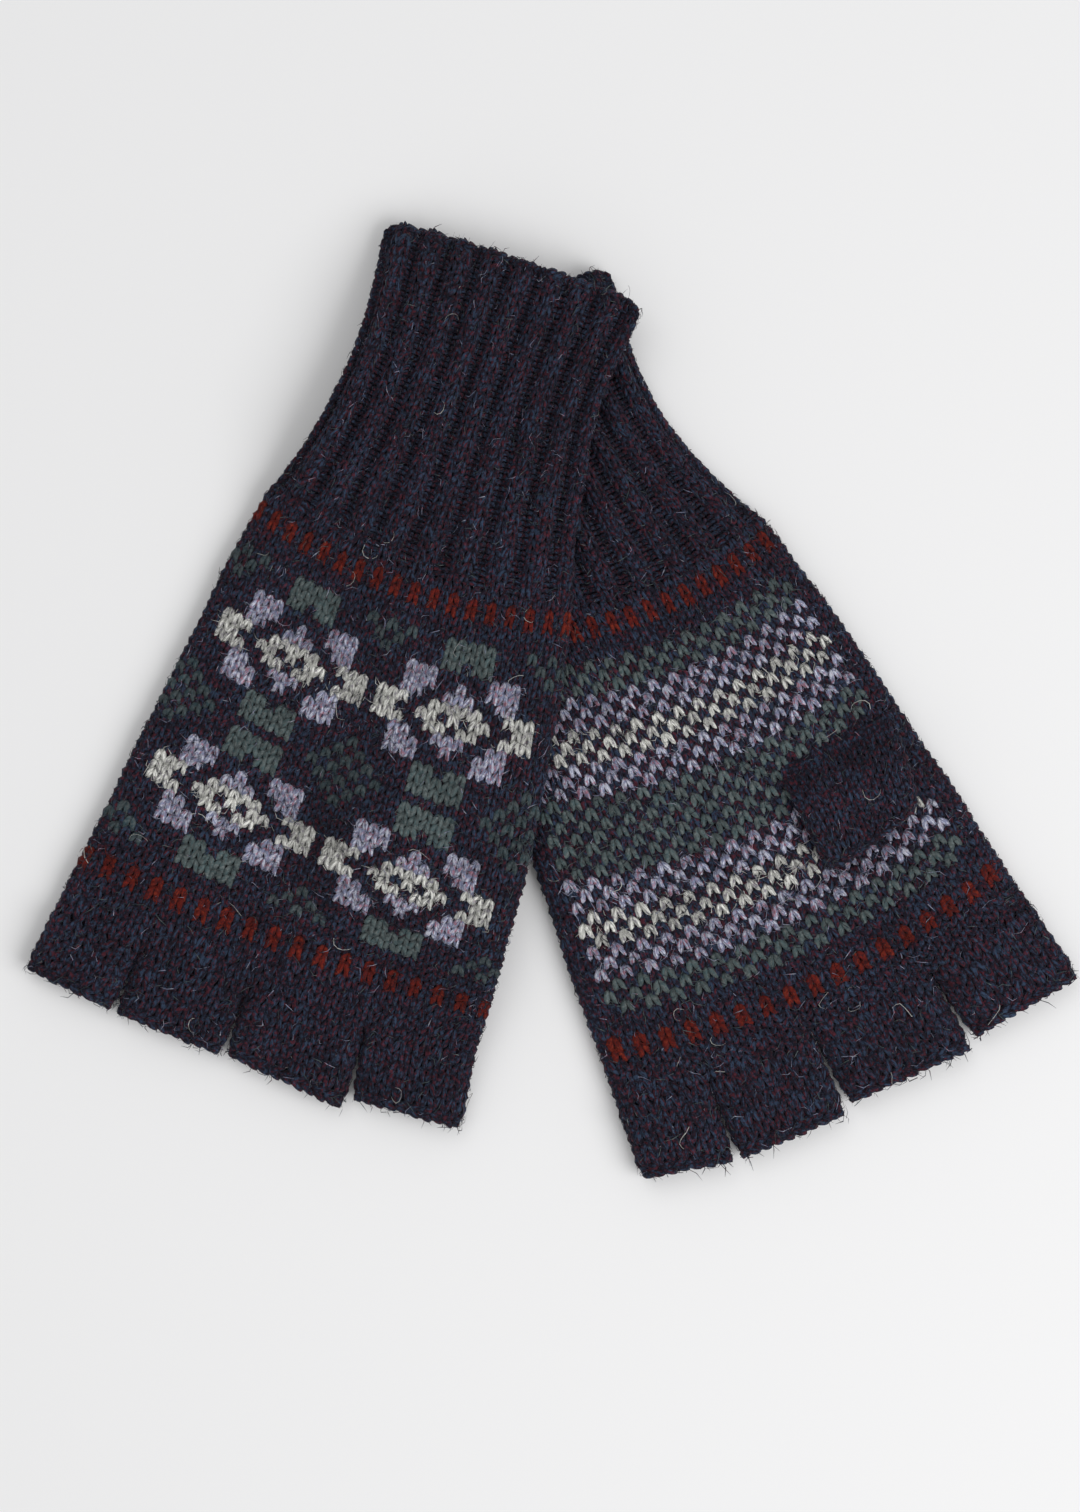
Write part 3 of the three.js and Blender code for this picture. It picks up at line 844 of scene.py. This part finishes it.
def woolMaterial(name, fleckSize=1000.0, streak=1.0, ply=1.0, relief=0.00035):
    material = bpy.data.materials.new(name)
    material.use_nodes = True
    nodes, link = material.node_tree.nodes, material.node_tree.links.new
    shader = nodes["Principled BSDF"]
    fibres = nodes.new("ShaderNodeGroup")
    fibres.node_tree = heather
    fibres.inputs["Fleck Size"].default_value = fleckSize
    fibres.inputs["Streak"].default_value = streak
    fibres.inputs["Ply"].default_value = ply
    bump = nodes.new("ShaderNodeBump")
    bump.inputs["Strength"].default_value = 0.7
    bump.inputs["Distance"].default_value = relief
    link(fibres.outputs["Color"], shader.inputs["Base Color"])
    link(fibres.outputs["Roughness"], shader.inputs["Roughness"])
    link(fibres.outputs["Height"], bump.inputs["Height"])
    link(bump.outputs["Normal"], shader.inputs["Normal"])
    shader.inputs["Specular IOR Level"].default_value = 0.18
    shader.inputs["Sheen Weight"].default_value = 0.06
    shader.inputs["Sheen Roughness"].default_value = 0.45
    shader.inputs["Sheen Tint"].default_value = (0.75, 0.78, 0.9, 1)
    return material


wools = {
    "patterned_knit": woolMaterial("stranded_wool"),
    "rib_knit": woolMaterial("rib_wool"),
    "plain_knit": woolMaterial("plain_wool"),
    "edge_knit": woolMaterial("edge_wool", ply=1.4),
    "hair": woolMaterial("loose_fibres", streak=0.3, ply=0.0, relief=0.00005),
}
print("wool made")


rng = np.random.default_rng(11)
seeds = {"left": 100, "right": 200}
hairs = {
    "above": 7.5, "below": 1.6, "edge": 5, "edgeWidth": 1.5,  # how many on a stitch
    "smallest": 0.5, "largest": 1.5, "turn": math.pi, "tilt": 0.55, "lift": 0.25, "sunk": -0.1,
    "curlShare": 0.0025, "paleShare": 0.14, "paleCurls": 0.7, "paleYarns": (1, 5, 5, 2), "curlYarn": 3,
}


# Most hairs are drawn on the upper side, which has the first half of a tube's columns, and at its edges.
def addHairs(name, grid, columns, rows, yarnAt, seedNumber, aroundCount):
    first, last = columns
    middle = aroundCount / 2
    top = (first, min(last, middle))
    under = (max(first, middle), last)
    width = hairs["edgeWidth"]
    edges = [(at, at + width) for at in (0, middle - width) if first <= at <= last - width]
    zones = [(top, hairs["above"]), (under, hairs["below"])] + [(edge, hairs["edge"]) for edge in edges]
    spots = []
    for (low, high), density in zones:
        count = int(max(high - low, 0) * (rows[1] - rows[0]) * density)
        across = rng.uniform(low, max(high, low), count)
        along = rng.uniform(rows[0], rows[1], count)
        spots.append(np.stack([across, along, np.full(count, hairs["sunk"])], axis=1))
    spots = np.concatenate(spots)
    curled = rng.random(len(spots)) < hairs["curlShare"]
    pale = rng.random(len(spots)) < np.where(curled, hairs["paleCurls"], hairs["paleShare"])
    other = np.where(curled, hairs["curlYarn"], rng.choice(hairs["paleYarns"], len(spots)))
    yarn = [kind if light else yarnAt(x, y) for (x, y, _), light, kind in zip(spots, pale, other)]
    points = pointsObject(name + "_points", spots.tolist(), yarn, curled)
    return layStitches(name, grid, points, None, wools["hair"], shapes["hair"], shapes["curl"],
                       Turn=hairs["turn"], Tilt=hairs["tilt"], Smallest=hairs["smallest"],
                       Largest=hairs["largest"], Lift=hairs["lift"], Seed=seedNumber)


# One knitted piece and its loose hairs. A ribbed one is given the chart column of each of its columns.
def knitPatch(name, tube, columns, rows, yarnAt, slotName, closed, seedNumber, ribColumn=None):
    grid = fabricGrid(tube, columns, rows)
    spots, yarn, kind = [], [], []
    for row in range(*rows):
        for column in range(*columns):
            spots.append((column + 0.5, row + 0.5, 0))
            yarn.append(yarnAt(column, row))
            kind.append(1 if ribColumn and ribWave(ribColumn(column) + 0.5) < 0 else 0)
    points = pointsObject(name + "_points", spots, yarn, kind)
    sides = knit["ribSlab"] if ribColumn else knit["slab"]
    inner = slabObject(name + "_inner", tube, columns, rows, closed, sides)
    piece = layStitches(name, grid, points, inner, wools[slotName], shapes["plain"], shapes["purl"],
                        Seed=seedNumber)
    fuzz = addHairs(name + "_hairs", grid, columns, rows, yarnAt, seedNumber + 500, tube["count"])
    print(name, len(piece.data.polygons))
    return piece, fuzz


# One round of chain stitches along an edge, and its loose hairs.
def edgePatch(name, tube, row, seedNumber):
    columns = (0, tube["count"])
    rows = (row, row + 1)
    grid = fabricGrid(tube, columns, rows)
    spots = [(column + 0.5, row + 0.5, knit["chainSunk"]) for column in range(*columns)]
    points = pointsObject(name + "_points", spots, np.zeros(len(spots)), np.zeros(len(spots)))
    piece = layStitches(name, grid, points, None, wools["edge_knit"], shapes["chain"], Turn=0.12,
                        Lift=0.15, Seed=seedNumber)
    fuzz = addHairs(name + "_hairs", grid, columns, rows, navyOnly, seedNumber + 500, tube["count"])
    return piece, fuzz


def navyOnly(column, row):
    return 0


def makeHand(side):
    face = knit["face"]
    tube = mainTube(side, face)
    halves = ((0, face), (face, 2 * face))
    palm, back = halves if side == "left" else halves[::-1]

    def chart(column, row):
        return stitchYarn(side, column, row)

    for i, (part, columns) in enumerate((("palm", palm), ("back", back))):
        name = f"{side}_hand_{part}"
        seedNumber = seeds[side] + i
        pair = knitPatch(name, tube, columns, (0, knit["rows"]), chart, "patterned_knit", False, seedNumber)
        for obj in pair:
            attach(obj, side + "_glove")
        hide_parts(side + "_hand")


def makeCuff(side):
    face = knit["ribFace"]
    tube = mainTube(side, face)
    columns = (0, 2 * face)
    fold = glove["turnBackRow"]

    def ribColumn(column):
        return 2 * face - 1 - column if side == "right" else column

    for i, (part, rows) in enumerate((("cuff_rib", (knit["rows"], fold)),
                                      ("cuff_turn_back", (fold, knit["castOnRow"])))):
        name = f"{side}_{part}"
        seedNumber = seeds[side] + 2 + i
        pair = knitPatch(name, tube, columns, rows, navyOnly, "rib_knit", True, seedNumber, ribColumn)
        for obj in pair:
            if name == "right_cuff_turn_back":
                blendCuff(obj)
            else:
                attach(obj, side + "_glove")
        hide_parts(name)
    name = side + "_cuff_cast_on_edge"
    pair = edgePatch(name, tube, knit["castOnRow"], seeds[side] + 4)
    for obj in pair:
        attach(obj, "left_glove" if side == "left" else "right_turned_cuff")
    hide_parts(name)


def blendCuff(obj):
    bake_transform(obj)


# A finger or thumb stub and its bound-off edge.
def makeStub(name, edgeName, tube, rows, seedNumber, edgeSeed):
    columns = (0, tube["count"])
    pairs = [knitPatch(name, tube, columns, (-rows, 0), navyOnly, "plain_knit", True, seedNumber)]
    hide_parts(name)
    pairs.append(edgePatch(edgeName, tube, -rows - 1, edgeSeed))
    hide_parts(edgeName)
    for pair in pairs:
        for obj in pair:
            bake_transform(obj)


def makeFingers(side):
    for i, label in enumerate(finger["names"]):
        hinge = joints[f"{side}_{label}_finger_fold"]
        out = Vector(hinge["axis"]).cross(Vector((0, 0, 1)))
        # the hinge's axis may point either way, the fingers point away from the cuff
        out = out * (-1 if out.xy.dot(Vector(frames[side][2])) > 0 else 1)
        makeStub(f"{side}_{label}_finger", f"{side}_{label}_bound_off_edge", fingerTube(side, i),
                 finger["rows"], seeds[side] + 14 + i, seeds[side] + 24 + i)


def makeThumb(side):
    makeStub(side + "_thumb", side + "_thumb_bound_off_edge", thumbTube(side), thumb["rows"],
             seeds[side] + 34, seeds[side] + 35)


for side in ("left", "right"):
    makeHand(side)
    makeCuff(side)
    makeFingers(side)
    makeThumb(side)
    print(side, "glove done")
for shape in shapes.values():
    bpy.data.objects.remove(shape)


# The floor, the lights and the camera, in metres but for the camera's millimetres.
studio = {
    "floor": (0.92, 0.92, 0.925), "floorSize": 3.0, "room": 0.5,
    "window": {"place": (0.9, -0.5, 1.1), "size": 1.2, "power": 11.7},
    "fill": {"place": (-0.5, 0.8, 1.6), "size": 1.4, "power": 4.4},
    "target": (-1.76, -15.35), "height": 1250, "field": 405.7, "sensor": 36,
}


def makeFloor():
    mesh = bpy.data.meshes.new("table")
    size = studio["floorSize"]
    corners = [(-size, -size, 0), (size, -size, 0), (size, size, 0), (-size, size, 0)]
    mesh.from_pydata(corners, [], [(0, 1, 2, 3)])
    floor = linked("table", mesh)
    material = bpy.data.materials.new("white_board")
    material.use_nodes = True
    shader = material.node_tree.nodes["Principled BSDF"]
    shader.inputs["Base Color"].default_value = (*studio["floor"], 1)
    shader.inputs["Roughness"].default_value = 0.95
    shader.inputs["Specular IOR Level"].default_value = 0.1
    mesh.materials.append(material)


def makeLamp(name):
    lamp = studio[name]
    light = bpy.data.lights.new(name, "AREA")
    light.shape = "DISK"
    light.size = lamp["size"]
    light.energy = lamp["power"]
    obj = linked(name, light)
    obj.location = lamp["place"]
    obj.rotation_euler = (-Vector(lamp["place"])).to_track_quat("-Z", "Y").to_euler()


makeFloor()
makeLamp("window")
makeLamp("fill")
world = bpy.data.worlds.new("room")
world.use_nodes = True
world.node_tree.nodes["Background"].inputs["Color"].default_value = (1, 1, 1, 1)
world.node_tree.nodes["Background"].inputs["Strength"].default_value = studio["room"]
scene.world = world

scene.view_settings.view_transform = "Standard"

camera = linked("camera", bpy.data.cameras.new("camera"))
camera.location = Vector((studio["target"][0], studio["target"][1], studio["height"])) * mm
camera.data.sensor_width = studio["sensor"]
camera.data.lens = studio["sensor"] * (studio["height"] - glove["thickness"]) / studio["field"]
camera.data.clip_end = 20
scene.camera = camera
print("studio set")

shown = [obj for obj in scene.objects if obj.type == "MESH" and not obj.hide_render]
print("triangles", countTriangles(shown), "most in a piece", max(countTriangles([obj]) for obj in shown))
